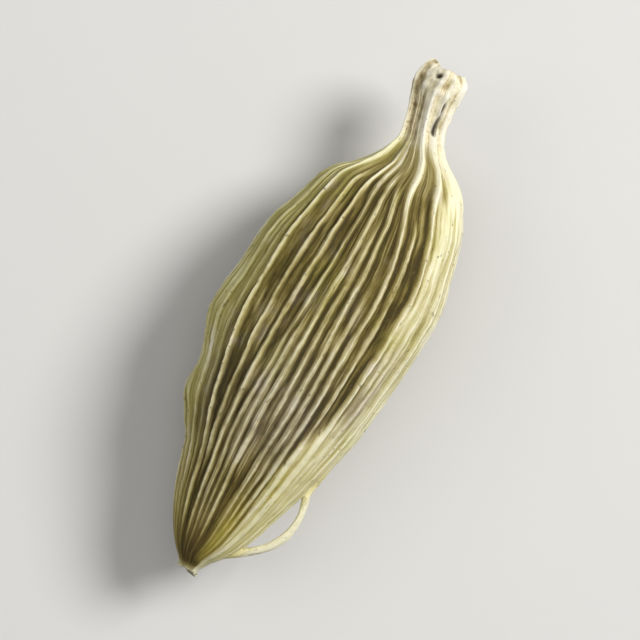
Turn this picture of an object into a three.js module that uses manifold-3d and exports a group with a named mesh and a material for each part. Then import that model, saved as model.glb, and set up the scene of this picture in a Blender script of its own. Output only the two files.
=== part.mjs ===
// A dried green cardamom pod: a ribbed, three-sided capsule with a bent stalk stub at one end, a blunt
// tip at the other and one fibre of the husk that has lifted off beside the tip.
// It grew as one piece, so it is one solid. Millimetres, +Z up, +X from the tip to the stalk.
import * as THREE from "three";
import { mergeVertices } from "three/addons/utils/BufferGeometryUtils.js";
import Module from "manifold-3d";

// ---- driving dimensions ----------------------------------------------------------------------------
const BODY_LENGTH = 18.0; // tip to neck
const UNIT = BODY_LENGTH / 118.33; // the stations below are in 118.33ths of the body length
const RIBS = 24; // ribs around the husk
const RIB_DEPTH = 0.13; // valley below crest at the belly
const AROUND = 96; // facets around, four to a rib
const FLAT_DEPTH = 0.17; // how much of the belly the resting spot takes off
const FIBRE_RADIUS = 0.17; // the lifted strand
const STALK_END_ROUND = 0.1; // rounding of the broken end

// Along the body: distance from the tip, sideways middle (positive is -Y), half-width, half-height, height
// of the middle above the belly's lowest crest, and how far the +Y flank swells there.
const STATIONS = [
  [-1.2, -2.2, 0.0, 0.0, 20.6, 0],
  [0, -2.1, 2.9, 2.6, 20.6, 0],
  [2, -2.5, 4.7, 4.2, 20.7, 0],
  [4, -2.4, 6.4, 5.8, 20.8, 0],
  [7, -2.15, 8.55, 7.4, 20.9, 0],
  [10, -2.1, 10.2, 8.8, 21.0, 0],
  [13.3, -2.1, 11.7, 10.1, 21.1, 0],
  [18, -2.15, 13.45, 11.8, 21.3, -0.2],
  [22.5, -2.15, 15.05, 13.4, 21.5, -0.5],
  [27.3, -2.2, 16.8, 15.0, 21.7, -0.8],
  [30, -2.3, 17.7, 16.0, 21.8, -0.1],
  [33, -2.3, 18.8, 17.1, 21.9, 0.4],
  [37.5, -2.3, 20.3, 18.7, 22.1, 1.4],
  [41.8, -2.35, 21.55, 20.0, 22.2, 0.5],
  [45, -2.35, 22.35, 20.8, 22.3, -0.5],
  [48.2, -2.35, 23.05, 21.5, 22.4, -0.5],
  [51.7, -2.35, 23.65, 22.1, 22.5, 0.3],
  [56.9, -2.4, 24.3, 22.7, 22.7, 1.2],
  [62, -2.25, 24.75, 23.0, 22.9, 0.8],
  [70, -1.75, 25.05, 23.2, 23.1, -0.2],
  [76, -1.25, 24.95, 23.1, 23.3, -0.2],
  [81, -0.8, 24.6, 22.8, 23.4, 0.3],
  [86, -0.5, 23.7, 22.1, 23.6, 0.4],
  [90, -0.3, 22.6, 21.2, 23.7, 0],
  [96, 0.2, 20.9, 19.3, 23.9, 0.2],
  [100, 0.6, 19.4, 17.8, 24.0, 0.5],
  [103, 1.05, 17.85, 16.2, 24.1, 0.4],
  [106, 1.8, 15.8, 14.3, 24.2, -0.2],
  [110, 2.6, 13.0, 11.5, 24.3, 0],
  [113.3, 2.0, 10.4, 9.1, 24.4, 0],
  [116.3, 0.4, 7.5, 6.5, 24.6, 0],
  [120, -1.2, 6.1, 5.3, 24.9, 0],
  [124.8, -2.5, 6.0, 5.2, 25.4, 0],
  [130, -3.4, 6.6, 5.8, 26.0, 0],
  [134, -3.2, 6.4, 5.7, 26.5, 0],
  [136, -3.1, 6.1, 5.4, 26.7, 0],
];
const TIP = STATIONS[0][0];
const STALK_END = STATIONS[STATIONS.length - 1][0];

// The three blunt edges of the capsule: angle from +Y towards +Z, and how far each stands out.
const EDGES = [
  [130, 0.1],
  [-8, 0.09],
  [219, 0.09],
];
const EDGE_SHARPNESS = 3.2;
const SWELL_SHARPNESS = 6; // how narrow the swellings of the +Y flank are around the pod

// The lifted fibre: distance from the tip, sideways (positive is -Y) and height, in the stations' units.
const FIBRE = [
  [43.5, 18.2, 22.6],
  [38, 17.3, 22.6],
  [34, 16.3, 22.7],
  [31, 15.5, 22.8],
  [28.5, 15.1, 22.9],
  [25.8, 15.8, 23.1],
  [22.3, 16.3, 23.3],
  [17.3, 15.6, 23.2],
  [13.3, 13.5, 22.7],
  [10.3, 10.6, 22.0],
  [8.3, 7.9, 21.5],
  [6.4, 5.5, 21.2],
  [4.6, 3.6, 21.0],
  [3, 1.8, 20.9],
];

// ---- the capsule -----------------------------------------------------------------------------------
// A smooth curve through one column of the stations.
function along(column, s) {
  const T = STATIONS;
  if (s <= T[0][0]) return T[0][column];
  let i = 0;
  while (i < T.length - 2 && s > T[i + 1][0]) i++;
  const slope = (k) => {
    const a = Math.max(k - 1, 0);
    const b = Math.min(k + 1, T.length - 1);
    return (T[b][column] - T[a][column]) / (T[b][0] - T[a][0]);
  };
  const h = T[i + 1][0] - T[i][0];
  const t = Math.min((s - T[i][0]) / h, 1);
  const t2 = t * t;
  const t3 = t2 * t;
  return (
    (2 * t3 - 3 * t2 + 1) * T[i][column] +
    (t3 - 2 * t2 + t) * h * slope(i) +
    (-2 * t3 + 3 * t2) * T[i + 1][column] +
    (t3 - t2) * h * slope(i + 1)
  );
}

// The first stretch is a rounded nose, so both half-sizes grow there as a root.
function half(column, s) {
  const nose = STATIONS[2];
  if (s >= nose[0]) return along(column, s);
  return nose[column] * Math.sqrt(Math.max(s - TIP, 0) / (nose[0] - TIP));
}

const step = (a, b, x) => THREE.MathUtils.smoothstep(x, a, b);

// How three-sided the capsule is at a station: round at the tip, the neck and the stalk.
const threeSided = (s) => step(2, 30, s) * (1 - step(98, 116, s));

function section(s, angle, edge) {
  let r = 1;
  for (const [at, out] of EDGES) {
    const d = angle - THREE.MathUtils.degToRad(at);
    r += edge * out * Math.exp(EDGE_SHARPNESS * (Math.cos(d) - 1));
  }
  return [r * Math.cos(angle), r * Math.sin(angle)];
}

// The extent of a section, so that it can be brought to exactly the half-width and half-height.
function extent(s, edge) {
  const e = [Infinity, -Infinity, Infinity, -Infinity];
  for (let i = 0; i < 720; i++) {
    const [y, z] = section(s, (i * Math.PI) / 360, edge);
    e[0] = Math.min(e[0], y);
    e[1] = Math.max(e[1], y);
    e[2] = Math.min(e[2], z);
    e[3] = Math.max(e[3], z);
  }
  return e;
}

// Depth of the furrows: none at the nose, shallow on the stalk, and pressed out where the pod rests.
function furrow(s, angle) {
  const ends = step(0, 14, s) * (1 - 0.55 * step(108, 120, s));
  const below = Math.max(0, -Math.sin(angle));
  const wave = 0.5 - 0.5 * Math.cos(RIBS * angle);
  return RIB_DEPTH * ends * (1 - 0.75 * below * below * below) * wave;
}

// Rows from the tip to the end of the stalk, close together where the outline turns.
const rows = [];
for (const u of [0.12, 0.5, 1.2, 2.2]) rows.push(TIP + u);
for (let s = 3; s < 99; s += 4) rows.push(s);
for (let s = 99; s < STALK_END - 1.2; s += 2.6) rows.push(s);
rows.push(STALK_END - STALK_END_ROUND / UNIT, STALK_END);

const profile = [new THREE.Vector2(0, TIP)];
for (const s of rows) profile.push(new THREE.Vector2(1, s));
profile.push(new THREE.Vector2(0, STALK_END + 0.2));

const lathe = new THREE.LatheGeometry(profile, AROUND);
const place = lathe.attributes.position;
const box = rows.map((s) => extent(s, threeSided(s)));
for (let i = 0; i <= AROUND; i++) {
  const angle = ((i % AROUND) / AROUND) * 2 * Math.PI;
  for (let j = 0; j < profile.length; j++) {
    const k = i * profile.length + j;
    const s = profile[j].y;
    const middleY = -along(1, Math.min(s, STALK_END)) * UNIT;
    const middleZ = along(4, Math.min(s, STALK_END)) * UNIT;
    if (j === 0 || j === profile.length - 1) {
      place.setXYZ(k, s * UNIT, middleY, middleZ);
      continue;
    }
    const e = box[j - 1];
    const [y, z] = section(s, angle, threeSided(s));
    // The last row is drawn in a little, which rounds the broken end of the stalk.
    const draw = s >= STALK_END ? 1 - STALK_END_ROUND / (half(2, s) * UNIT) : 1;
    const dy = ((2 * y - e[0] - e[1]) / (e[1] - e[0])) * half(2, s) * UNIT * draw;
    const dz = ((2 * z - e[2] - e[3]) / (e[3] - e[2])) * half(3, s) * UNIT * draw;
    const swell = along(5, s) * UNIT * Math.exp(SWELL_SHARPNESS * (Math.cos(angle) - 1));
    const shrink = 1 + (swell - furrow(s, angle)) / Math.hypot(dy, dz);
    place.setXYZ(k, s * UNIT, middleY + dy * shrink, middleZ + dz * shrink);
  }
}

// ---- the lifted fibre ------------------------------------------------------------------------------
const strandPath = new THREE.CatmullRomCurve3(
  FIBRE.map(([s, w, z]) => new THREE.Vector3(s * UNIT, -w * UNIT, z * UNIT)),
);
const strandSection = new THREE.Shape();
for (let i = 0; i < 8; i++) {
  const a = (i * Math.PI) / 4;
  const at = [FIBRE_RADIUS * Math.cos(a), 0.85 * FIBRE_RADIUS * Math.sin(a)];
  if (i === 0) strandSection.moveTo(...at);
  else strandSection.lineTo(...at);
}
strandSection.closePath();
const strand = new THREE.ExtrudeGeometry(strandSection, {
  steps: 44,
  bevelEnabled: false,
  extrudePath: strandPath,
});

// ---- join and cut ----------------------------------------------------------------------------------
const wasm = await Module();
wasm.setup();

function solid(geometry) {
  const g = geometry.clone();
  g.deleteAttribute("normal");
  g.deleteAttribute("uv");
  const merged = mergeVertices(g, 1e-4);
  return new wasm.Manifold(
    new wasm.Mesh({
      numProp: 3,
      vertProperties: new Float32Array(merged.attributes.position.array),
      triVerts: new Uint32Array(merged.index.array),
    }),
  );
}

// Everything below the resting spot comes off, which leaves the small flat that the pod lies on.
const below = new THREE.BoxGeometry(60, 60, 20);
below.translate(10, 0, FLAT_DEPTH - 10);
const pod = solid(lathe).add(solid(strand)).subtract(solid(below)).getMesh();

const geometry = new THREE.BufferGeometry();
geometry.setAttribute(
  "position",
  new THREE.BufferAttribute(new Float32Array(pod.vertProperties), 3),
);
geometry.setIndex(new THREE.BufferAttribute(new Uint32Array(pod.triVerts), 1));

// The origin is the middle of the box that holds the pod, on the plane that it rests on.
geometry.computeBoundingBox();
const { min, max } = geometry.boundingBox;
geometry.translate(-(min.x + max.x) / 2, -(min.y + max.y) / 2, -min.z);
geometry.computeVertexNormals();

const husk = new THREE.MeshStandardMaterial({
  color: new THREE.Color(0.68, 0.64, 0.36),
  roughness: 0.7,
  metalness: 0,
});
const mesh = new THREE.Mesh(geometry, husk);
mesh.name = "cardamom_pod";

const group = new THREE.Group();
group.name = "green_cardamom_pod";
group.add(mesh);

export default group;
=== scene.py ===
import math

import bpy
import numpy as np
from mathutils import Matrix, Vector
from mathutils.kdtree import KDTree


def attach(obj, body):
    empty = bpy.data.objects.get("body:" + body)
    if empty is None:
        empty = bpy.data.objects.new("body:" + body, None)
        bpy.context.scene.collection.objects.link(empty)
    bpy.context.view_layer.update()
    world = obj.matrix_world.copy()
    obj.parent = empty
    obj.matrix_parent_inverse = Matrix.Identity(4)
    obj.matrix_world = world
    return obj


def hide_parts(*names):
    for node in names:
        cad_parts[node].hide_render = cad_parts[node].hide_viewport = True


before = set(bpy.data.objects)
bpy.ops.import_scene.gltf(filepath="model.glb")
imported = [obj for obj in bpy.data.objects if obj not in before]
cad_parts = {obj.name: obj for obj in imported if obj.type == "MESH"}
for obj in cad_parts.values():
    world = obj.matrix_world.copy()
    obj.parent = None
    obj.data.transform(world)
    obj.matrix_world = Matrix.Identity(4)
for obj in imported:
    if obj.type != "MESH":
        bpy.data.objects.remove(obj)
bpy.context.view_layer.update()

# ---------------------------------------------------------------------------------------------------
# The pod's own measures. Millimetres, in the frame of the CAD solid: +X from tip to stalk, +Z up.
# ---------------------------------------------------------------------------------------------------
UNIT = 18.0 / 118.33            # the stations are in 118.33ths of the body's length
OFFSET = np.array([10.267895, 0.318374, 0.17])  # from the stations' zero to the part's origin

# distance from the tip, sideways middle (positive is -Y), half-width, half-height, height of the middle,
# and how far the +Y flank swells
STATIONS = np.array([
    [-1.2, -2.2, 0.0, 0.0, 20.6, 0], [0, -2.1, 2.9, 2.6, 20.6, 0], [2, -2.5, 4.7, 4.2, 20.7, 0],
    [4, -2.4, 6.4, 5.8, 20.8, 0], [7, -2.15, 8.55, 7.4, 20.9, 0], [10, -2.1, 10.2, 8.8, 21.0, 0],
    [13.3, -2.1, 11.7, 10.1, 21.1, 0], [18, -2.15, 13.45, 11.8, 21.3, -0.2],
    [22.5, -2.15, 15.05, 13.4, 21.5, -0.5], [27.3, -2.2, 16.8, 15.0, 21.7, -0.8],
    [30, -2.3, 17.7, 16.0, 21.8, -0.1], [33, -2.3, 18.8, 17.1, 21.9, 0.4],
    [37.5, -2.3, 20.3, 18.7, 22.1, 1.4], [41.8, -2.35, 21.55, 20.0, 22.2, 0.5],
    [45, -2.35, 22.35, 20.8, 22.3, -0.5], [48.2, -2.35, 23.05, 21.5, 22.4, -0.5],
    [51.7, -2.35, 23.65, 22.1, 22.5, 0.3], [56.9, -2.4, 24.3, 22.7, 22.7, 1.2],
    [62, -2.25, 24.75, 23.0, 22.9, 0.8], [70, -1.75, 25.05, 23.2, 23.1, -0.2],
    [76, -1.25, 24.95, 23.1, 23.3, -0.2], [81, -0.8, 24.6, 22.8, 23.4, 0.3],
    [86, -0.5, 23.7, 22.1, 23.6, 0.4], [90, -0.3, 22.6, 21.2, 23.7, 0],
    [96, 0.2, 20.9, 19.3, 23.9, 0.2], [100, 0.6, 19.4, 17.8, 24.0, 0.5],
    [103, 1.05, 17.85, 16.2, 24.1, 0.4], [106, 1.8, 15.8, 14.3, 24.2, -0.2],
    [110, 2.6, 13.0, 11.5, 24.3, 0], [113.3, 2.0, 10.4, 9.1, 24.4, 0],
    [116.3, 0.4, 7.5, 6.5, 24.6, 0], [120, -1.2, 6.1, 5.3, 24.9, 0],
    [124.8, -2.5, 6.0, 5.2, 25.4, 0], [130, -3.4, 6.6, 5.8, 26.0, 0],
    [134, -3.2, 6.4, 5.7, 26.5, 0], [136, -3.1, 6.1, 5.4, 26.7, 0]])
TIP, END = STATIONS[0, 0], STATIONS[-1, 0]
EDGES = ((130, 0.10), (-8, 0.09), (219, 0.09))   # the capsule's three blunt edges
EDGE_SHARPNESS, SWELL_SHARPNESS = 3.2, 6.0

# The ribs: angle from +Y towards +Z at these distances from the tip, then strength.
KNOTS = np.array([0, 8, 16, 24, 32, 40, 48, 56, 64, 72, 80, 88, 96, 102, 108, 114, 120, 128], float)
UPPER = [
    ((16, 16, 17, 18, 17, 14, 12, 8, 10, 11, 8, 9, 9, 9, 8, 8, 8, 8), 0.5),
    ((28, 28, 29, 29, 28, 26, 25, 21, 22, 24, 22, 22, 21, 19, 16, 15, 15, 15), 0.65),
    ((37, 37, 38, 38, 37, 35, 35, 34, 33, 32, 32, 31, 29, 26, 22, 21, 21, 21), 0.45),
    ((45, 45, 46, 47, 45, 44, 43, 43, 41, 40, 39, 38, 35, 31, 28, 28, 28, 28), 1.05),
    ((52, 52, 53, 54, 54, 54, 56, 57, 57, 56, 54, 54, 51, 48, 44, 42, 42, 42), 0.85),
    ((60, 60, 61, 61, 61, 64, 66, 67, 68, 68, 66, 65, 64, 60, 54, 53, 53, 53), 1.0),
    ((69, 69, 70, 69, 69, 71, 74, 76, 77, 78, 77, 75, 75, 71, 62, 60, 60, 60), 0.85),
    ((76, 76, 76, 76, 76, 77, 79, 81, 82, 81, 80, 79, 78, 75, 66, 64, 64, 64), 0.75),
    ((83, 83, 83, 83, 83, 84, 86, 87, 87, 86, 85, 84, 83, 80, 71, 69, 69, 69), 0.95),
    ((92, 92, 92, 92, 92, 93, 94, 94, 93, 92, 91, 90, 89, 84, 75, 73, 73, 73), 0.8),
    ((100, 100, 100, 100, 100, 101, 101, 101, 100, 98, 97, 96, 95, 89, 79, 77, 77, 77), 0.92),
    ((107, 107, 107, 107, 107, 107, 107, 107, 106, 104, 104, 103, 101, 94, 83, 81, 81, 81), 0.8),
    ((114, 114, 114, 114, 114, 113, 113, 113, 113, 112, 111, 110, 107, 99, 88, 86, 87, 87), 1.1),
    ((123, 123, 123, 122, 121, 121, 121, 121, 120, 120, 118, 118, 115, 109, 99, 98, 98, 98), 0.85),
    ((136, 136, 134, 131, 130, 130, 130, 131, 131, 131, 130, 131, 128, 122, 114, 113, 115, 115), 1.2),
    ((146, 146, 145, 142, 140, 140, 141, 142, 143, 143, 142, 142, 141, 138, 131, 130, 131, 131), 0.42),
    ((157, 157, 156, 155, 153, 153, 155, 156, 157, 158, 157, 158, 156, 153, 149, 148, 149, 149), 0.75),
    ((170, 170, 169, 168, 167, 168, 169, 170, 171, 171, 170, 170, 168, 166, 163, 162, 163, 163), 0.6),
]
# where a weaker rib of the upper side dies out: (rib, from, to) towards the tip or the neck
FADES = {7: ((62, 74), None), 9: ((88, 98), (44, 36)), 11: ((72, 80), None), 2: ((88, 98), None),
         15: ((100, 108), (40, 30)), 0: ((98, 106), None), 4: ((101, 107), (30, 18)), 10: ((99, 107), None),
         8: ((104, 111), None), 13: ((95, 103), None)}
LOWER = (180, 190, 199, 209, 219, 229, 238, 247, 256, 266, 275, 284, 293, 303, 312, 321, 331, 341, 351)
LOWER_STRENGTH = (0.7, 0.55, 0.9, 0.8, 1.15, 0.8, 0.95, 0.5, 0.9, 0.8, 0.95, 0.55, 1.0, 0.8, 0.95, 0.55, 0.9, 0.8, 1.0)

RIB_HEIGHT = 0.165              # crest above furrow at the belly
RIB_WIDTH = 0.086               # how fast a crest falls off to its furrow
FRACTIONS = np.array([0, 0.06, 0.14, 0.25, 0.41, 0.59, 0.75, 0.86, 0.94])  # columns from crest to crest

# The lifted fibre: distance from the tip, sideways (positive is -Y), height
FIBRE = np.array([[43.5, 18.2, 22.6], [38.0, 17.3, 22.6], [34.0, 16.3, 22.7], [31.0, 15.5, 22.8], [28.5, 15.1, 22.9],
                  [25.8, 15.8, 23.1], [22.3, 16.3, 23.3], [17.3, 15.6, 23.2], [13.3, 13.5, 22.7], [10.3, 10.6, 22.0],
                  [8.3, 7.9, 21.5], [6.4, 5.5, 21.2], [4.6, 3.6, 21.0], [3.0, 1.8, 20.9]])

rng = np.random.default_rng(20)


# ---------------------------------------------------------------------------------------------------
# Small tools
# ---------------------------------------------------------------------------------------------------
def curve(x, y, s):
    """A smooth curve through the points (x, y), read at s."""
    x, y, s = np.asarray(x, float), np.asarray(y, float), np.asarray(s, float)
    last = len(x) - 1
    m = np.array([(y[min(k + 1, last)] - y[max(k - 1, 0)]) / (x[min(k + 1, last)] - x[max(k - 1, 0)])
                  for k in range(len(x))])
    i = np.clip(np.searchsorted(x, s, side="left") - 1, 0, last - 1)
    h = x[i + 1] - x[i]
    t = np.clip((s - x[i]) / h, 0, 1)
    return ((2 * t**3 - 3 * t**2 + 1) * y[i] + (t**3 - 2 * t**2 + t) * h * m[i]
            + (-2 * t**3 + 3 * t**2) * y[i + 1] + (t**3 - t**2) * h * m[i + 1])


def ramp(a, b, x):
    """0 up to a, 1 from b on, smooth between."""
    t = np.clip((np.asarray(x, float) - a) / (np.asarray(b, float) - a), 0, 1)
    return t * t * (3 - 2 * t)


def wave_set(count, short, long, dims=3):
    """Random smooth waves with lengths between short and long."""
    length = np.exp(rng.uniform(math.log(short), math.log(long), count))
    way = rng.normal(size=(count, dims))
    way /= np.linalg.norm(way, axis=1)[:, None]
    return way * (2 * math.pi / length)[:, None], rng.uniform(0, 2 * math.pi, count), (length / long) ** 0.5


def waves(points, made):
    k, phase, size = made
    out = np.zeros(points.shape[:-1])
    for ki, pi, si in zip(k, phase, size):
        out += si * np.sin(points @ ki + pi)
    return out / math.sqrt(0.5 * float(np.sum(size**2)))


def along_noise(s_mm, short, long, count=7):
    """A smooth random line along the pod, about -1 to 1."""
    out = np.zeros_like(s_mm)
    total = 0.0
    for _ in range(count):
        length = math.exp(rng.uniform(math.log(short), math.log(long)))
        size = (length / long) ** 0.5
        out += size * np.sin(2 * math.pi * s_mm / length + rng.uniform(0, 2 * math.pi))
        total += size**2
    return out / math.sqrt(0.5 * total) * 0.6


# ---------------------------------------------------------------------------------------------------
# The capsule without its ribs
# ---------------------------------------------------------------------------------------------------
def half_size(column, s):
    nose = STATIONS[2]
    grown = nose[column] * np.sqrt(np.clip(s - TIP, 0, None) / (nose[0] - TIP))
    return np.where(s >= nose[0], curve(STATIONS[:, 0], STATIONS[:, column], s), grown)


def three_sided(s):
    return ramp(2, 30, s) * (1 - ramp(98, 116, s))


def raw_section(angle, edge):
    r = np.ones_like(angle)
    for at, out in EDGES:
        r = r + edge * out * np.exp(EDGE_SHARPNESS * (np.cos(angle - math.radians(at)) - 1))
    return r * np.cos(angle), r * np.sin(angle)


ALL_ROUND = np.radians(np.arange(0, 360, 0.5))


def capsule(s, angle, shrink=1.0):
    """Points of the smooth capsule. s has a row each, angle has rows and columns."""
    s = np.asarray(s, float)[:, None]
    edge = three_sided(s)
    ey, ez = raw_section(np.broadcast_to(ALL_ROUND[None, :], (len(s), len(ALL_ROUND))), edge)
    y, z = raw_section(angle, edge)
    lo, hi = ey.min(1, keepdims=True), ey.max(1, keepdims=True)
    dy = (2 * y - lo - hi) / (hi - lo) * half_size(2, s) * UNIT
    lo, hi = ez.min(1, keepdims=True), ez.max(1, keepdims=True)
    dz = (2 * z - lo - hi) / (hi - lo) * half_size(3, s) * UNIT
    swell = curve(STATIONS[:, 0], STATIONS[:, 5], s) * UNIT * np.exp(SWELL_SHARPNESS * (np.cos(angle) - 1))
    size = np.maximum(np.hypot(dy, dz), 1e-6)
    grow = (1 + swell / size) * shrink
    x = np.broadcast_to(s * UNIT, angle.shape)
    y = -curve(STATIONS[:, 0], STATIONS[:, 1], s) * UNIT + dy * grow
    z = curve(STATIONS[:, 0], STATIONS[:, 4], s) * UNIT + dz * grow
    return np.stack([x, y, z], -1)


# ---------------------------------------------------------------------------------------------------
# Rows, ribs and columns
# ---------------------------------------------------------------------------------------------------
nose_rows = TIP + (np.arange(1, 14) / 14.0) ** 2 * 3.0
body_rows = np.linspace(TIP + 3.0, END - 1.2, 258)
end_rows = END - 1.2 * (1 - np.arange(1, 5) / 4.0) ** 1.5
S = np.concatenate([nose_rows, body_rows, end_rows])
s_mm = S * UNIT
n_rows = len(S)

def eased(values):
    """The same run of values with its small steps evened out; the two ends stay."""
    v = np.array(values, float)
    for _ in range(2):
        v[1:-1] = 0.25 * v[:-2] + 0.5 * v[1:-1] + 0.25 * v[2:]
    return v


ribs, strength = [], []
for angles, a in UPPER:
    ribs.append(curve(KNOTS, eased(angles), S) + 0.24 * along_noise(s_mm, 1.6, 6.0))
    strength.append(np.full(n_rows, a))
for number, spans in FADES.items():
    up, down = spans
    if up:
        strength[number] = strength[number] * (1 - ramp(up[0], up[1], S))
    if down:
        strength[number] = strength[number] * ramp(down[1], down[0], S)
for angle, a in zip(LOWER, LOWER_STRENGTH):
    drift = 1.6 * along_noise(s_mm, 7.0, 16.0, 4) + 0.26 * along_noise(s_mm, 1.6, 6.0)
    ribs.append(angle + rng.uniform(-1.5, 1.5) + drift)
    line = np.full(n_rows, a)
    if a < 0.6:   # the weak ones die out somewhere along the way
        at = rng.uniform(40, 80)
        line = line * (1 - ramp(at, at + 14, S) if rng.random() < 0.5 else ramp(at - 14, at, S))
    strength.append(line)
ribs = np.array(ribs).T                                   # rows by ribs, degrees
strength = np.array(strength).T
n_ribs = ribs.shape[1]
for i in range(1, n_ribs):                                # neighbours never cross
    ribs[:, i] = np.maximum(ribs[:, i], ribs[:, i - 1] + 2.6)
for i in range(n_ribs):                                   # no rib is the same height all the way
    strength[:, i] *= np.clip(1 + 0.17 * along_noise(s_mm, 1.4, 7.0) + 0.07 * along_noise(s_mm, 0.26, 0.8), 0.4, 1.6)
    ribs[:, i] += 0.09 * along_noise(s_mm, 0.35, 1.0) * (1 - ramp(100, 112, S))
# ribs run together at the neck: every third one carries on as a bundle of the stalk
bundle = np.array([0.25 + 0.95 * (i % 3 == 0) for i in range(n_ribs)])
bundle[[3, 12, 14, 16]] = 1.3
onto_stalk = ramp(104, 118, S)[:, None]
strength = strength * (1 - onto_stalk) + onto_stalk * bundle[None, :] * np.maximum(strength, 0.6)

wrapped = np.concatenate([ribs, ribs[:, :1] + 360], 1)
angle = wrapped[:, :-1, None] + FRACTIONS[None, None, :] * np.diff(wrapped, axis=1)[:, :, None]
n_cols = n_ribs * len(FRACTIONS)
angle = np.radians(angle.reshape(n_rows, n_cols))
fraction = np.tile(FRACTIONS, n_ribs)
rib_of = np.repeat(np.arange(n_ribs), len(FRACTIONS))

base = capsule(S, angle)
# Directions: outwards from the smooth capsule, from its slopes along and around
step_s, step_a = 0.25, math.radians(0.4)
lo_s, hi_s = np.clip(S - step_s, TIP + 1e-4, None), np.clip(S + step_s, None, END)
tangent_s = capsule(hi_s, angle) - capsule(lo_s, angle)
tangent_a = capsule(S, angle + step_a) - capsule(S, angle - step_a)
outward = np.cross(tangent_a, tangent_s)
outward /= np.maximum(np.linalg.norm(outward, axis=-1, keepdims=True), 1e-9)
middle = np.stack([s_mm, -curve(STATIONS[:, 0], STATIONS[:, 1], S) * UNIT,
                   curve(STATIONS[:, 0], STATIONS[:, 4], S) * UNIT], -1)[:, None, :]
outward *= np.sign(np.sum(outward * (base - middle), -1, keepdims=True))

# ---------------------------------------------------------------------------------------------------
# Relief of the husk
# ---------------------------------------------------------------------------------------------------
crest = base.reshape(n_rows, n_ribs, len(FRACTIONS), 3)[:, :, 0]
gap = np.linalg.norm(np.roll(crest, -1, 1) - crest, axis=-1)            # crest to next crest, mm
room = np.minimum(gap, np.roll(gap, 1, 1))                              # the tighter side of each rib
across_gap = fraction.reshape(n_ribs, -1)[None]
from_here, from_next = across_gap * gap[:, :, None], (1 - across_gap) * gap[:, :, None]


# the rib that runs on as the stalk's main bundle is thicker there
thick = np.ones((n_rows, n_ribs))
thick[:, 12] += 0.9 * ramp(90, 104, S)
thick[:, 3] += 0.4 * ramp(94, 106, S)
strength[:, 12] *= 1 + 0.30 * ramp(92, 104, S) * (1 - ramp(110, 118, S))


def ridge(distance, wider):
    """A narrow crest, rounded on top, that runs out into the hollow beside it."""
    width = np.minimum(RIB_WIDTH, 0.30 * gap)[:, :, None] * wider[:, :, None]
    return np.exp(-(np.sqrt(distance**2 + 0.025**2) - 0.025) / width)


here, there = ridge(from_here, thick), ridge(from_next, np.roll(thick, -1, 1))
strong, strong_next = strength[:, :, None], np.roll(strength, -1, 1)[:, :, None]
profile = (here * strong + there * strong_next).reshape(n_rows, n_cols)
crestness = np.maximum(here**1.25 * np.minimum(strong, 1.1),
                       there**1.25 * np.minimum(strong_next, 1.1)).reshape(n_rows, n_cols)
# a thin crease along the foot of each rib, in the shape and, further down, as painted shade in the colour
crease = np.maximum(np.exp(-((from_here - 0.165) / 0.055) ** 2) * np.minimum(strong, 1),
                    np.exp(-((from_next - 0.165) / 0.055) ** 2) * np.minimum(strong_next, 1)).reshape(n_rows, n_cols)

degrees = np.degrees(angle) % 360
keel = ribs[:, 14][:, None] - 13.0 * (1 - ramp(34, 50, S))[:, None]
face_side = ramp(keel - 4, keel + 9, degrees) * (1 - ramp(178, 205, degrees))     # the smooth side beyond the keel
left_side = np.exp(-(((degrees + 180) % 360 - 180 - 15) / 23.0) ** 2)
body = (ramp(4, 20, S) * (1 - ramp(104, 116, S)))[:, None]

# low at the tip, on the stalk and on the smooth side
height = RIB_HEIGHT * (0.10 + 0.90 * ramp(2, 21, S)) * (1 - 0.55 * ramp(104, 120, S))
height = np.minimum(height[:, None], 0.36 * np.repeat(room, len(FRACTIONS), 1))
height = height * (1 - 0.66 * face_side * body) * (1 - 0.58 * left_side * body)
relief = height * (profile - 1.0) - 0.022 * crease * body * (1 - 0.7 * face_side)

# fine ridges between the ribs, each only a stretch long
fine_ridges = np.zeros((n_rows, n_cols))
for number in range(n_cols):
    if 0.1 < fraction[number] < 0.9:
        line = np.clip(along_noise(s_mm, 2.2, 9.0, 5) * 1.5 + rng.uniform(-0.45, 0.45), 0, 1)
        fine_ridges[:, number] = line * (1.0 if number % 2 else 0.6)
taper = (ramp(4, 20, S) * (1 - 0.6 * ramp(108, 118, S)))[:, None]
relief += 0.030 * fine_ridges * taper * np.minimum(1, np.repeat(gap, len(FRACTIONS), 1) / 0.6)

# where the ribs run together at the neck they swell into a few bundles
bundles = np.zeros((n_rows, n_cols))
for number, out in ((3, 1.0), (5, 0.7), (8, 0.55), (12, 1.1), (14, 1.0), (16, 0.95), (19, 0.7), (22, 0.9), (25, 0.8),
                    (28, 0.9), (31, 0.8), (34, 0.8)):
    away = (degrees - ribs[:, number][:, None] + 180) % 360 - 180
    bundles = np.maximum(bundles, out * np.exp(-(away / 8.5) ** 2))
neck_zone = ramp(101, 111, S) * (1 - 0.45 * ramp(121, 131, S))
relief += 0.15 * (bundles - 0.85) * neck_zone[:, None] * ramp(0, 0.55, np.repeat(gap, len(FRACTIONS), 1) * 3.2)

# some furrows are deeper than others
deep = np.zeros((n_rows, n_ribs))
for number, (a, b, depth) in {13: (40, 108, 0.08), 3: (44, 100, 0.05), 5: (40, 100, 0.05), 12: (97, 111, 0.13),
                              8: (36, 70, 0.03), 10: (60, 98, 0.04), 1: (50, 92, 0.02)}.items():
    deep[:, number] = depth * ramp(a - 8, a + 4, S) * (1 - ramp(b - 4, b + 6, S))
for number in range(len(UPPER), n_ribs):
    deep[:, number] = max(0.0, rng.uniform(-0.04, 0.08)) * ramp(20, 50, S) * (1 - ramp(90, 110, S))
furrow_shape = np.sin(math.pi * fraction) ** 2
deep_here = np.repeat(deep, len(FRACTIONS), 1) * furrow_shape[None, :]
relief -= deep_here
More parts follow.
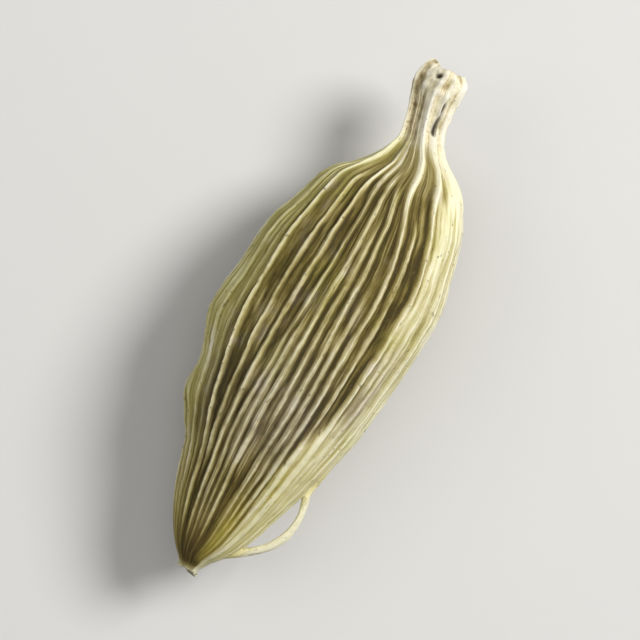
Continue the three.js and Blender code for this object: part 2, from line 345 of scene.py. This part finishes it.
# thin lines along the smooth side, and a dimple beside the neck's right bundle
lines = np.zeros((n_rows, n_cols))
for number, a, b, out in ((15, 62, 97, 1.0), (16, 74, 92, 0.35), (14, 88, 103, 0.25)):
    run = ramp(a - 7, a + 7, S) * (1 - ramp(b - 6, b + 6, S)) * (0.78 + 0.22 * np.sin(0.31 * S + number))
    lines += out * run[:, None] * (np.exp(-((fraction - 0.5) / 0.15) ** 2) * (rib_of == number))[None, :]
dimple = np.exp(-((degrees - 130) / 5.5) ** 2) * (ramp(105, 110, S) * (1 - ramp(113, 118, S)))[:, None]
relief -= 0.055 * lines + 0.09 * dimple

# seeds that press outwards, and dents where the husk dried between them
lumps = waves(base, wave_set(10, 3.5, 8.0))
relief += 0.026 * lumps * ramp(14, 34, S)[:, None] * (1 - ramp(94, 110, S))[:, None]
# short crinkles across, stronger in the furrows, and fine fibres along
crinkle = waves(base * np.array([1.0, 0.35, 0.35]), wave_set(12, 0.32, 0.9))
relief += 0.007 * crinkle * (1.1 - 0.5 * crestness) * ramp(2, 20, S)[:, None]
for number in range(n_cols):
    relief[:, number] += 0.006 * along_noise(s_mm, 0.5, 3.0, 5) * (1 - 0.5 * ramp(110, 120, S))

# the split in the stalk and the pit near its end
stalk = ramp(114.5, 119.5, S)[:, None] * np.ones((1, n_cols))
slit_run = ramp(119.3, 120.8, S) * (1 - ramp(127.0, 129.4, S)) * (1 - 0.45 * np.exp(-((S - 125.2) / 0.9) ** 2))
slit_wide = 11.0 - 5.0 * ramp(121.5, 127, S)
slit = np.exp(-((degrees - 121 - 1.0 * (S - 124)[:, None]) / slit_wide[:, None]) ** 2) * slit_run[:, None]
groove = np.exp(-((degrees - 63) / 12.0) ** 2) * (ramp(114.5, 118, S) * (1 - ramp(125, 130, S)))[:, None]
pit = np.exp(-((degrees - 78) / 10) ** 2) * np.exp(-((S - 133.7) / 0.9) ** 2)[:, None]
knobs = waves(base, wave_set(22, 0.24, 0.70)) * (0.35 + 0.65 * ramp(120, 134, S))[:, None] * stalk
relief += 0.026 * knobs - 0.22 * slit - 0.20 * pit - 0.10 * groove
# painted shade: the slit and the pit are painted near black
mark = np.clip(ramp(0.2, 0.75, slit) + ramp(0.3, 0.8, pit), 0, 1)


points = base + outward * relief[:, :, None]

# the broken end of the stalk: blunt, with knobs where bundles of fibres end
ragged = np.zeros(n_cols)
for at, wide, out in ((38, 22, 0.14), (72, 9, -0.05), (100, 13, 0.05), (122, 7, -0.04), (145, 16, 0.05), (176, 12, -0.06),
                      (215, 24, 0.09), (258, 16, -0.06), (300, 22, 0.08), (344, 12, -0.06)):
    ragged += out * np.exp(-(((degrees[-1] - at + 180) % 360 - 180) / wide) ** 2)
for i in range(n_ribs):
    away = (degrees[-1] - ribs[-1, i] + 180) % 360 - 180
    ragged += rng.uniform(-0.03, 0.03) * np.exp(-(away / 3.0) ** 2)
points[:, :, 0] += (ragged[None, :] - 0.02) * ramp(130, END, S)[:, None]
# it flares unevenly, and its lip is rounded
flare = np.zeros_like(angle)
for at, wide, out_by in ((45, 16, 0.07), (100, 12, 0.05), (150, 18, 0.09), (205, 16, 0.06), (262, 20, 0.07), (318, 14, 0.04)):
    flare += out_by * np.exp(-(((degrees - at + 180) % 360 - 180) / wide) ** 2)
lip = ramp(126, 133, S) - 0.9 * ramp(133.5, END, S) ** 2
points += outward * (flare * lip[:, None] - 0.12 * (ramp(133.8, END, S) ** 2)[:, None])[:, :, None]

# The blunt tip ends in the frayed remains of the flower: a short papery stub with a ragged rim
stub_rows = int(np.searchsorted(S, 0.55))
joint, joint_middle = points[stub_rows], points[stub_rows].mean(0)
joint_size = np.linalg.norm(joint - joint_middle, axis=1).mean()
around = np.stack([np.cos(angle[stub_rows]), np.sin(angle[stub_rows]), 0 * angle[stub_rows]], -1)
fray = np.clip(waves(around * 3.0, wave_set(14, 0.7, 3.0)), -0.5, 1.5)
fray_out = np.clip(waves(around * 3.0, wave_set(10, 1.2, 4.0)), -1.1, 1.4)
u = np.arange(stub_rows) / stub_rows
STUB = np.array([[0.00, -0.02, 0.02], [0.16, -0.03, 0.12], [0.30, -0.08, 0.22], [0.42, -0.21, 0.30], [0.48, -0.25, 0.335],
                 [0.56, -0.23, 0.365], [0.72, -0.13, 0.37], [0.86, -0.03, 0.42], [1.00, joint_middle[0], joint_size]])
stub_x, stub_r = curve(STUB[:, 0], STUB[:, 1], u), curve(STUB[:, 0], STUB[:, 2], u)
rim = np.exp(-((u - 0.49) / 0.13) ** 2)
grown = (stub_r / joint_size)[:, None] * (1 + 0.16 * fray_out[None, :] * rim[:, None])
stub = joint_middle + (joint - joint_middle)[None] * grown[:, :, None]
stub[:, :, 0] = stub_x[:, None] - (0.085 * fray + 0.05 * np.cos(angle[stub_rows] - 2.2))[None, :] * rim[:, None]
stub[:, :, 0] += (joint[:, 0] - joint_middle[0])[None, :] * (ramp(0.5, 1.0, u))[:, None]
points[:stub_rows] = stub
stub_pale = np.concatenate([rim + 0.55 * ramp(0.5, 0.6, u) * (1 - ramp(0.75, 1.0, u)), np.zeros(n_rows - stub_rows)])
# painted shade: the stub's hollow middle is painted dark
stub_hollow_shade = np.concatenate([1 - ramp(0.2, 0.42, u), np.zeros(n_rows - stub_rows)])

# The end's own face, hollowed and rough
rings = np.array([0.93, 0.80, 0.62, 0.42, 0.22])
last = points[-1]
centre = last.mean(0)
face_points = []
END_WAVES = wave_set(6, 0.3, 0.8)
for k in rings:
    inner = centre + (last - centre) * k
    inner[:, 0] = centre[0] + (last[:, 0] - centre[0]) * k**2 - 0.10 * (1 - k**3)
    inner[:, 0] += 0.035 * waves(inner, END_WAVES)
    face_points.append(inner)
points = np.concatenate([points, np.array(face_points)], 0)
extra = len(rings)


def more(a, value):
    """The same column data for the rows of the end face."""
    return np.concatenate([a, np.broadcast_to(value, (extra, n_cols))], 0)


crestness = more(crestness, np.linspace(0.7, 0.25, extra)[:, None])
stub_pale, stub_hollow_shade = (np.concatenate([a, np.zeros(extra)])[:, None] for a in (stub_pale, stub_hollow_shade))
# painted shade: the rib-foot creases, the side lines and the dimple are painted darker
crease = more(np.maximum(crease * body, 1.6 * lines**1.6 + 1.6 * dimple), 0.0)
deep_here = more(deep_here, 0.0)
stalk = more(stalk, 1.0)
# painted shade: the end face darkens towards its hollow middle
mark = more(mark, np.linspace(0.05, 0.30, extra)[:, None])
rows_mm = np.concatenate([s_mm, np.full(extra, s_mm[-1])])
degrees = more(degrees, degrees[-1][None, :])
lumps = more(lumps, 0.0)
fine_ridges = more(fine_ridges * taper, 0.2)
bundles = more(bundles * neck_zone[:, None], 0.5)
knobs = more(knobs, 0.0)
groove = more(groove, 0.0)

points -= OFFSET
# The resting spot: what would pass through the surface is pressed flat
z = points[:, :, 2]
points[:, :, 2] = 0.5 * (z + np.sqrt(z * z + 0.045**2))

tip_point = np.array([-0.02, joint_middle[1], joint_middle[2]]) - OFFSET
end_point = np.array([centre[0] - 0.10, centre[1], centre[2]]) - OFFSET

# ---------------------------------------------------------------------------------------------------
# Meshes
# ---------------------------------------------------------------------------------------------------
total_rows = n_rows + extra
vertices = np.concatenate([points.reshape(-1, 3), tip_point[None], end_point[None]], 0)
r, c = np.meshgrid(np.arange(total_rows - 1), np.arange(n_cols), indexing="ij")
nxt = (c + 1) % n_cols
quads = np.stack([r * n_cols + c, r * n_cols + nxt, (r + 1) * n_cols + nxt, (r + 1) * n_cols + c], -1).reshape(-1, 4)
cols = np.arange(n_cols)
tip_fan = np.stack([np.full(n_cols, total_rows * n_cols), (cols + 1) % n_cols, cols], -1)
top = (total_rows - 1) * n_cols
end_fan = np.stack([np.full(n_cols, total_rows * n_cols + 1), top + cols, top + (cols + 1) % n_cols], -1)

# unrolled place of every point, so that grain follows the ribs: along, and a circle of rib numbers
turn = 2 * math.pi * (rib_of + fraction) / n_ribs
radius = n_ribs * 0.61 / (2 * math.pi)
unrolled = np.empty((total_rows, n_cols, 3))
unrolled[:, :, 0] = rows_mm[:, None]
unrolled[:, :, 1] = radius * np.cos(turn)[None, :]
unrolled[:, :, 2] = radius * np.sin(turn)[None, :]
unrolled = np.concatenate([unrolled.reshape(-1, 3), [[TIP * UNIT, 0, 0]], [[END * UNIT, 0, 0]]], 0)


def flat(a, tip_value, end_value):
    return np.concatenate([np.asarray(a, float).reshape(-1), [tip_value, end_value]])


keel = np.concatenate([keel, np.repeat(keel[-1:], extra, 0)], 0)
at = rows_mm[:, None] / UNIT
dusk = 1.05 * np.exp(-((degrees - 142) / 9.0) ** 2) * ramp(34, 54, at) * (1 - ramp(54, 80, at))
dusk += 0.35 * np.exp(-((degrees - 112) / 14.0) ** 2) * ramp(28, 36, at) * (1 - ramp(44, 58, at))
dusk += 0.35 * np.exp(-((degrees - 42) / 12.0) ** 2) * ramp(26, 34, at) * (1 - ramp(44, 54, at))
grey = np.exp(-((degrees - 90) / 32.0) ** 2) * ramp(22, 38, at) * (1 - ramp(46, 72, at))
# the stalk's +Y side and its groove darker: partly tan colour, partly painted shade on the side away from the key
# light and in the groove
strip = np.exp(-(((degrees + 180) % 360 - 180 - 28) / 24.0) ** 2) * ramp(114, 120, at) + 1.1 * groove
face_side = ramp(keel - 4, keel + 7, degrees) * (1 - ramp(184, 220, degrees))
left_side = np.exp(-(((degrees + 180) % 360 - 180 - 15) / 23.0) ** 2)
under_side = ramp(0.1, 0.75, -np.sin(np.radians(degrees)))
# the lower +Y flank towards the tip is darker: partly a browner tip, partly a painted cast shadow
low_left_painted_shadow = np.exp(-(((degrees + 180) % 360 - 180 - 20) / 38.0) ** 2) * (1 - ramp(10, 52, rows_mm / UNIT))[:, None]
tip_zone = np.maximum((1 - ramp(3, 22, rows_mm / UNIT))[:, None], 0.95 * low_left_painted_shadow) * (1 - 0.85 * face_side) * (1 - 0.8 * np.clip(stub_pale, 0, 1))
olive_streak = np.exp(-((degrees - 110) / 12.0) ** 2) * (ramp(0.5, 3, rows_mm / UNIT) * (1 - ramp(12, 26, rows_mm / UNIT)))[:, None]
data = {
    "rib": flat(np.maximum(crestness * (0.30 + 0.70 * ramp(2, 13, rows_mm / UNIT))[:, None], stub_pale), 0.2, 0.2),
    "crease": flat(crease, 0, 0),
    "deep": flat(deep_here / 0.1, 0, 0),
    "stalk": flat(stalk, 0, 1),
    "mark": flat(np.maximum(mark, 0.75 * stub_hollow_shade), 0.8, 0.4),
    "side": flat(face_side, 0, 0),
    "flank": flat(left_side, 0, 0),
    "under": flat(under_side, 0, 0),
    "tipzone": flat(tip_zone, 1, 0),
    "olive": flat(np.maximum(0.8 * olive_streak, 0.36 * face_side * (1 - ramp(30, 48, at)) * ramp(2, 8, at)), 0, 0),
    "ridge": flat(fine_ridges, 0, 0),
    "neck": flat(bundles, 0, 0),
    "dusk": flat(dusk, 0, 0),
    "grey": flat(grey, 0, 0),
    "strip": flat(strip, 0, 0),
    "knob": flat(knobs, 0, 0),
}


def new_mesh(name, verts, faces):
    me = bpy.data.meshes.new(name)
    me.from_pydata((np.asarray(verts) * 0.001).tolist(), [], [tuple(int(v) for v in f) for f in faces])
    me.validate()
    me.polygons.foreach_set("use_smooth", np.ones(len(me.polygons), bool))
    me.update()
    return me


def put(me, name, values, kind="FLOAT"):
    a = me.attributes.new(name, kind, "POINT")
    a.data.foreach_set("vector" if kind == "FLOAT_VECTOR" else "value", np.asarray(values, np.float32).ravel())


pod_mesh = new_mesh("cardamom_pod_husk", vertices, quads.tolist() + tip_fan.tolist() + end_fan.tolist())
put(pod_mesh, "unrolled", unrolled, "FLOAT_VECTOR")
for name, values in data.items():
    put(pod_mesh, name, values)
pod = bpy.data.objects.new("cardamom_pod_husk", pod_mesh)
bpy.context.scene.collection.objects.link(pod)


def strand(path, radii, sides=10, squash=0.85):
    """A closed tapering tube along a path."""
    path = np.asarray(path, float)
    forward = np.gradient(path, axis=0)
    forward /= np.linalg.norm(forward, axis=1)[:, None]
    up = np.array([0.0, 0.0, 1.0])
    verts, faces = [], []
    for p, f, rad in zip(path, forward, radii):
        side = np.cross(f, up)
        side /= max(np.linalg.norm(side), 1e-9)
        top_way = np.cross(side, f)
        for k in range(sides):
            a = 2 * math.pi * k / sides
            verts.append(p + rad * (math.cos(a) * side + squash * math.sin(a) * top_way))
    n = len(path)
    for i in range(n - 1):
        for k in range(sides):
            k2 = (k + 1) % sides
            faces.append((i * sides + k, (i + 1) * sides + k, (i + 1) * sides + k2, i * sides + k2))
    verts += [path[0], path[-1]]
    for k in range(sides):
        k2 = (k + 1) % sides
        faces.append((n * sides, k, k2))
        faces.append((n * sides + 1, (n - 1) * sides + k2, (n - 1) * sides + k))
    return np.array(verts), faces


def spline(points_in, count):
    """An even run of points on a smooth curve through the given ones."""
    p = np.asarray(points_in, float)
    d = np.concatenate([[0], np.cumsum(np.linalg.norm(np.diff(p, axis=0), axis=1))])
    t = np.linspace(0, d[-1], count)
    return np.stack([curve(d, p[:, i], t) for i in range(3)], 1)


def place(row):
    return np.array([row[0] * UNIT, -row[1] * UNIT, row[2] * UNIT]) - OFFSET


strands = []
LOOP_POINTS = 96
loop = spline([place(p) for p in FIBRE], LOOP_POINTS)
t = np.linspace(0, 1, LOOP_POINTS)
loop_radius = (0.152 + 0.012 * np.sin(23 * t + 0.5) + 0.014 * np.sin(11 * t)) * (0.25 + 0.75 * ramp(0, 0.30, t)) * (0.45 + 0.55 * ramp(0, 0.16, 1 - t))
strands.append(strand(loop, loop_radius, 12, 0.8))

husk_tree = KDTree(len(vertices))
for number, v in enumerate(vertices):
    husk_tree.insert(v, number)
husk_tree.balance()
verts, faces = strands[0]
fibre_mesh = new_mesh("lifted_fibre", verts, faces)
found = [husk_tree.find(v) for v in verts]
nearest = np.array([f[1] for f in found])
free = ramp(0.10, 0.40, np.array([f[2] for f in found]))       # 1 where the strand stands clear of the husk
turns = np.concatenate([np.tile(np.arange(12) * math.pi / 6, LOOP_POINTS), [0, 0]])
own = np.stack([verts[:, 0] + OFFSET[0], 0.25 * np.cos(turns) - radius, 0.25 * np.sin(turns)], 1)
put(fibre_mesh, "unrolled", unrolled[nearest] * (1 - free[:, None]) + own * free[:, None], "FLOAT_VECTOR")
for name, values in data.items():
    put(fibre_mesh, name, values[nearest] * (1 - free) + free * {"rib": 1.0, "side": 0.7}.get(name, 0.0))
fibre = bpy.data.objects.new("lifted_fibre", fibre_mesh)
bpy.context.scene.collection.objects.link(fibre)

# The fibre grew from the husk, so the two become one closed surface
join = pod.modifiers.new("join", "BOOLEAN")
join.operation, join.solver, join.object = "UNION", "MANIFOLD", fibre
bpy.context.view_layer.update()
joined = bpy.data.meshes.new_from_object(pod.evaluated_get(bpy.context.evaluated_depsgraph_get()))
pod.modifiers.clear()
pod.data = joined
joined.name = "cardamom_pod_husk_mesh"
bpy.data.objects.remove(fibre)
joined.polygons.foreach_set("use_smooth", np.ones(len(joined.polygons), bool))
# the points of the seam are new, so they take their data from the husk beside them
spots, own = np.empty(len(joined.vertices) * 3, np.float32), np.empty(len(joined.vertices) * 3, np.float32)
joined.vertices.foreach_get("co", spots)
joined.attributes["unrolled"].data.foreach_get("vector", own)
spots, own = spots.reshape(-1, 3) * 1000, own.reshape(-1, 3)
seam = np.flatnonzero(np.abs(own).sum(1) == 0)
beside = np.array([husk_tree.find(spots[k])[1] for k in seam], int)
own[seam] = unrolled[beside]
joined.attributes["unrolled"].data.foreach_set("vector", own.ravel())
for name, values in data.items():
    held = np.empty(len(joined.vertices), np.float32)
    joined.attributes[name].data.foreach_get("value", held)
    held[seam] = values[beside]
    joined.attributes[name].data.foreach_set("value", held)
print("HUSK", len(joined.vertices), "points", sum(len(p.vertices) - 2 for p in joined.polygons), "triangles",
      [a.name for a in joined.attributes])

# ---------------------------------------------------------------------------------------------------
# The husk's material
# ---------------------------------------------------------------------------------------------------
mat = bpy.data.materials.new("dry_cardamom_husk")
mat.use_nodes = True
nt = mat.node_tree
nt.nodes.clear()


def node(kind, **inputs):
    n = nt.nodes.new(kind)
    for key, value in inputs.items():
        if key.startswith("_"):
            setattr(n, key[1:], value)
    return n


def link(value, socket):
    if hasattr(value, "is_output"):
        nt.links.new(value, socket)
    else:
        socket.default_value = value


def attr(name, vector=False):
    n = node("ShaderNodeAttribute", _attribute_name=name)
    return n.outputs["Vector" if vector else "Fac"]


def math_node(op, a, b=None, clamp=False):
    n = node("ShaderNodeMath", _operation=op, _use_clamp=clamp)
    link(a, n.inputs[0])
    if b is not None:
        link(b, n.inputs[1])
    return n.outputs[0]


def scaled(vector, by):
    n = node("ShaderNodeVectorMath", _operation="MULTIPLY")
    link(vector, n.inputs[0])
    n.inputs[1].default_value = by
    return n.outputs[0]


def noise(vector, scale, detail=3.0, rough=0.55):
    n = node("ShaderNodeTexNoise")
    link(vector, n.inputs["Vector"])
    n.inputs["Scale"].default_value = scale
    n.inputs["Detail"].default_value = detail
    n.inputs["Roughness"].default_value = rough
    return n.outputs["Fac"]


def spread(value, lo, hi, out_lo=0.0, out_hi=1.0):
    n = node("ShaderNodeMapRange", _interpolation_type="SMOOTHSTEP")
    link(value, n.inputs["Value"])
    for key, v in (("From Min", lo), ("From Max", hi), ("To Min", out_lo), ("To Max", out_hi)):
        n.inputs[key].default_value = v
    return n.outputs["Result"]


def mix(fac, a, b, kind="MIX"):
    n = node("ShaderNodeMix", _data_type="RGBA", _blend_type=kind)
    link(fac, n.inputs["Factor"])
    for value, socket in ((a, n.inputs[6]), (b, n.inputs[7])):
        link(value if hasattr(value, "is_output") else (*value, 1.0), socket)
    return n.outputs[2]


def colours(fac, stops):
    n = node("ShaderNodeValToRGB")
    link(fac, n.inputs["Fac"])
    e = n.color_ramp.elements
    while len(e) < len(stops):
        e.new(0.5)
    for item, (at, colour) in zip(e, stops):
        item.position, item.color = at, (*colour, 1.0)
    return n.outputs["Color"]


co = attr("unrolled", True)
rib, deep_furrow_shade, stalk_a, mark_a = attr("rib"), attr("deep"), attr("stalk"), attr("mark")
side_a, flank_a, under_a, tip_a = attr("side"), attr("flank"), attr("under"), attr("tipzone")

fibres = noise(scaled(co, (0.11, 1, 1)), 5.0, 4.0, 0.62)           # streaks along the ribs
fine = noise(scaled(co, (0.07, 1, 1)), 13.0, 3.0, 0.6)             # finer ones
patches = noise(co, 0.42, 3.0, 0.5)                                # broad areas
blotch = noise(scaled(co, (0.6, 1, 1)), 1.3, 4.0, 0.6)
across = noise(scaled(co, (1, 0.35, 0.35)), 6.5, 3.0, 0.6)         # crinkles across
grain = noise(co, 20.0, 2.0, 0.6)


def around_zero(value, size):
    return math_node("MULTIPLY", math_node("SUBTRACT", value, 0.5), size)


# how much of a crest a point is, broken up by the fibres; crests pale and hollows dark, partly the husk's own colour
# and partly painted shade in the hollows
tone = math_node("ADD", math_node("MULTIPLY", rib, 0.62), 0.16)
tone = math_node("ADD", tone, math_node("MULTIPLY", attr("ridge"), 0.30))
# painted shade darkens the creases, the side lines and the dimple
tone = math_node("SUBTRACT", tone, math_node("MULTIPLY", attr("crease"), 0.32))
for value, size in ((fibres, 0.62), (fine, 0.62), (across, 0.06), (blotch, 0.24)):
    tone = math_node("ADD", tone, around_zero(value, size))
# painted shade: the deeper furrows are painted darker
tone = math_node("SUBTRACT", tone, math_node("MULTIPLY", deep_furrow_shade, 0.14))
neck_a = attr("neck")
tone = math_node("ADD", tone, math_node("MULTIPLY", neck_a, 0.26))
tone = math_node("ADD", tone, math_node("MULTIPLY", math_node("MULTIPLY", neck_a, rib), 0.60))
# the smooth side beyond the keel is made paler, partly its own pale colour and partly painted light where the key
# light falls; the +Y flank and the underside are made paler too
lift = math_node("ADD", math_node("MULTIPLY", side_a, 0.56), math_node("MULTIPLY", flank_a, 0.36))
lift = math_node("ADD", lift, math_node("MULTIPLY", under_a, 0.10))
dusk_a = math_node("MULTIPLY", attr("dusk"), spread(fibres, 0.35, 0.65, 0.50, 1.25))
tone = math_node("SUBTRACT", tone, math_node("MULTIPLY", dusk_a, 0.12))
hollow = math_node("SUBTRACT", 1.0, math_node("MULTIPLY", rib, 1.6), clamp=True)
tone = math_node("SUBTRACT", tone, math_node("MULTIPLY", math_node("MULTIPLY", dusk_a, hollow), 0.30))
tone = math_node("ADD", tone, math_node("MULTIPLY", attr("grey"), 0.09))
tone = math_node("ADD", tone, math_node("MULTIPLY", attr("olive"), 0.08))
tone = math_node("ADD", tone, lift, clamp=True)

base_colour = colours(tone, [
    (0.00, (0.052, 0.037, 0.006)),
    (0.20, (0.146, 0.110, 0.022)),
    (0.45, (0.345, 0.287, 0.110)),
    (0.72, (0.615, 0.556, 0.312)),
    (1.00, (0.855, 0.818, 0.605))])
green = colours(tone, [
    (0.00, (0.060, 0.050, 0.007)),
    (0.22, (0.170, 0.143, 0.024)),
    (0.48, (0.385, 0.342, 0.088)),
    (0.76, (0.640, 0.604, 0.282)),
    (1.00, (0.845, 0.822, 0.540))])
greener = math_node("ADD", spread(patches, 0.50, 0.66, 0.0, 0.6), math_node("MULTIPLY", flank_a, 0.5))
greener = math_node("ADD", greener, math_node("MULTIPLY", side_a, 0.25), clamp=True)
base_colour = mix(greener, base_colour, green)
olive_green = colours(tone, [
    (0.00, (0.060, 0.050, 0.005)),
    (0.50, (0.375, 0.330, 0.066)),
    (1.00, (0.810, 0.770, 0.390))])
base_colour = mix(math_node("MULTIPLY", flank_a, 0.55), base_colour, olive_green)
tan = colours(tone, [
    (0.00, (0.066, 0.050, 0.026)),
    (0.30, (0.234, 0.190, 0.114)),
    (0.60, (0.530, 0.472, 0.328)),
    (1.00, (0.845, 0.800, 0.640))])
tanner = math_node("ADD", spread(blotch, 0.52, 0.72, 0.0, 0.7), math_node("MULTIPLY", dusk_a, 0.9))
tanner = math_node("ADD", tanner, math_node("MULTIPLY", attr("grey"), 0.50), clamp=True)
base_colour = mix(tanner, base_colour, tan)

# tip and lower +Y flank: brown and olive, with the crests still pale; the tip's own browning, and on the flank a
# painted cast shadow
tip_colour = colours(tone, [
    (0.00, (0.030, 0.018, 0.003)),
    (0.35, (0.115, 0.076, 0.011)),
    (0.66, (0.380, 0.300, 0.070)),
    (1.00, (0.820, 0.750, 0.480))])
tip_mask = math_node("MULTIPLY", tip_a, spread(blotch, 0.25, 0.6, 0.55, 1.0))
base_colour = mix(tip_mask, base_colour, tip_colour)
yellow = colours(tone, [(0.00, (0.160, 0.115, 0.010)), (0.50, (0.500, 0.410, 0.065)), (1.00, (0.780, 0.700, 0.300))])
base_colour = mix(attr("olive"), base_colour, yellow)

# stalk: pale dry wood
stalk_tone = math_node("ADD", math_node("MULTIPLY", rib, 0.30), math_node("MULTIPLY", fibres, 0.95))
stalk_tone = math_node("ADD", stalk_tone, math_node("MULTIPLY", neck_a, 0.25))
stalk_tone = math_node("ADD", stalk_tone, around_zero(across, 0.7))
stalk_tone = math_node("ADD", stalk_tone, math_node("MULTIPLY", attr("knob"), 0.10))
# painted shade, partly tan colour: the stalk's +Y side and its groove darker
stalk_tone = math_node("SUBTRACT", stalk_tone, math_node("MULTIPLY", attr("strip"), 0.30))
stalk_colour = colours(stalk_tone, [
    (0.10, (0.265, 0.200, 0.092)),
    (0.38, (0.600, 0.505, 0.290)),
    (0.60, (0.870, 0.810, 0.590)),
    (0.92, (0.950, 0.920, 0.780))])
base_colour = mix(stalk_a, base_colour, stalk_colour)
# painted shade in the slit, the pit, the stub's hollow and the end face
base_colour = mix(math_node("MULTIPLY", mark_a, 0.96), base_colour, (0.030, 0.018, 0.007))
speck = spread(grain, 0.66, 0.78, 0.0, 0.45)
base_colour = mix(speck, base_colour, (0.130, 0.095, 0.035))
flecks = noise(scaled(co, (0.55, 1, 1)), 7.5, 1.0, 0.5)             # small dark flecks, a few to the millimetre
base_colour = mix(spread(flecks, 0.67, 0.76, 0.0, 0.60), base_colour, (0.120, 0.086, 0.028))

roughness = spread(tone, 0.1, 0.95, 0.78, 0.52)
rough_out = math_node("ADD", roughness, around_zero(fine, 0.2))

bump_height = math_node("ADD", math_node("MULTIPLY", fibres, 0.5), math_node("MULTIPLY", fine, 0.3))
bump_height = math_node("ADD", bump_height, math_node("MULTIPLY", across, 0.16))
bump_height = math_node("ADD", bump_height, math_node("MULTIPLY", grain, 0.16))
bump = node("ShaderNodeBump")
bump.inputs["Strength"].default_value = 1.0
bump.inputs["Distance"].default_value = 0.00013
link(bump_height, bump.inputs["Height"])

shader = node("ShaderNodeBsdfPrincipled")
link(base_colour, shader.inputs["Base Color"])
link(rough_out, shader.inputs["Roughness"])
link(bump.outputs["Normal"], shader.inputs["Normal"])
shader.inputs["IOR"].default_value = 1.46
shader.inputs["Specular IOR Level"].default_value = 0.34
out = node("ShaderNodeOutputMaterial")
link(shader.outputs["BSDF"], out.inputs["Surface"])
joined.materials.clear()
joined.materials.append(mat)

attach(pod, "root")
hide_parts("cardamom_pod")

# ---------------------------------------------------------------------------------------------------
# Floor, light and camera
# ---------------------------------------------------------------------------------------------------
floor_mesh = bpy.data.meshes.new("floor")
w = 0.6
floor_mesh.from_pydata([(-w, -w, 0), (w, -w, 0), (w, w, 0), (-w, w, 0)], [], [(0, 1, 2, 3)])
floor = bpy.data.objects.new("floor", floor_mesh)
bpy.context.scene.collection.objects.link(floor)
floor_mat = bpy.data.materials.new("pale_floor")
floor_mat.use_nodes = True
f = floor_mat.node_tree.nodes["Principled BSDF"]
f.inputs["Base Color"].default_value = (0.66, 0.66, 0.655, 1)
f.inputs["Roughness"].default_value = 0.8
f.inputs["Specular IOR Level"].default_value = 0.2
floor_mesh.materials.append(floor_mat)

RIGHT, UP = Vector((0.4707, -0.8823, 0)), Vector((0.8823, 0.4707, 0))   # the picture's right and up


def area_light(name, where, size, power, colour=(1, 1, 1)):
    lamp = bpy.data.lights.new(name, "AREA")
    lamp.shape, lamp.size, lamp.energy, lamp.color = "DISK", size, power, colour
    ob = bpy.data.objects.new(name, lamp)
    ob.location = where
    ob.rotation_euler = (Vector((0, 0, 0.003)) - Vector(where)).to_track_quat("-Z", "Y").to_euler()
    bpy.context.scene.collection.objects.link(ob)
    return ob


up = Vector((0, 0, 1))
area_light("key", (RIGHT * 0.92 + UP * 0.38) * 0.17 + up * 0.17, 0.10, 0.56, (1.0, 0.985, 0.95))
area_light("fill", (-RIGHT * 0.8 + UP * 0.3) * 0.18 + up * 0.18, 0.16, 0.10, (1.0, 0.985, 0.96))
area_light("overhead", up * 0.3 + UP * 0.04, 0.2, 0.12)

world = bpy.data.worlds.new("studio")
world.use_nodes = True
world.node_tree.nodes["Background"].inputs["Color"].default_value = (1.0, 0.985, 0.96, 1)
world.node_tree.nodes["Background"].inputs["Strength"].default_value = 0.22
bpy.context.scene.world = world
bpy.context.scene.view_settings.view_transform = "Standard"
bpy.context.scene.view_settings.look = "None"

cam = bpy.data.cameras.new("camera")
camera = bpy.data.objects.new("camera", cam)
bpy.context.scene.collection.objects.link(camera)
camera.location = (0.0, 0.0, 0.30)
camera.rotation_euler = (0, 0, math.atan2(-0.8823, 0.4707))
cam.sensor_fit = "AUTO"
cam.angle = 2 * math.atan(0.01190 / (0.30 - 0.0035))
cam.clip_start, cam.clip_end = 0.01, 5.0
bpy.context.scene.camera = camera
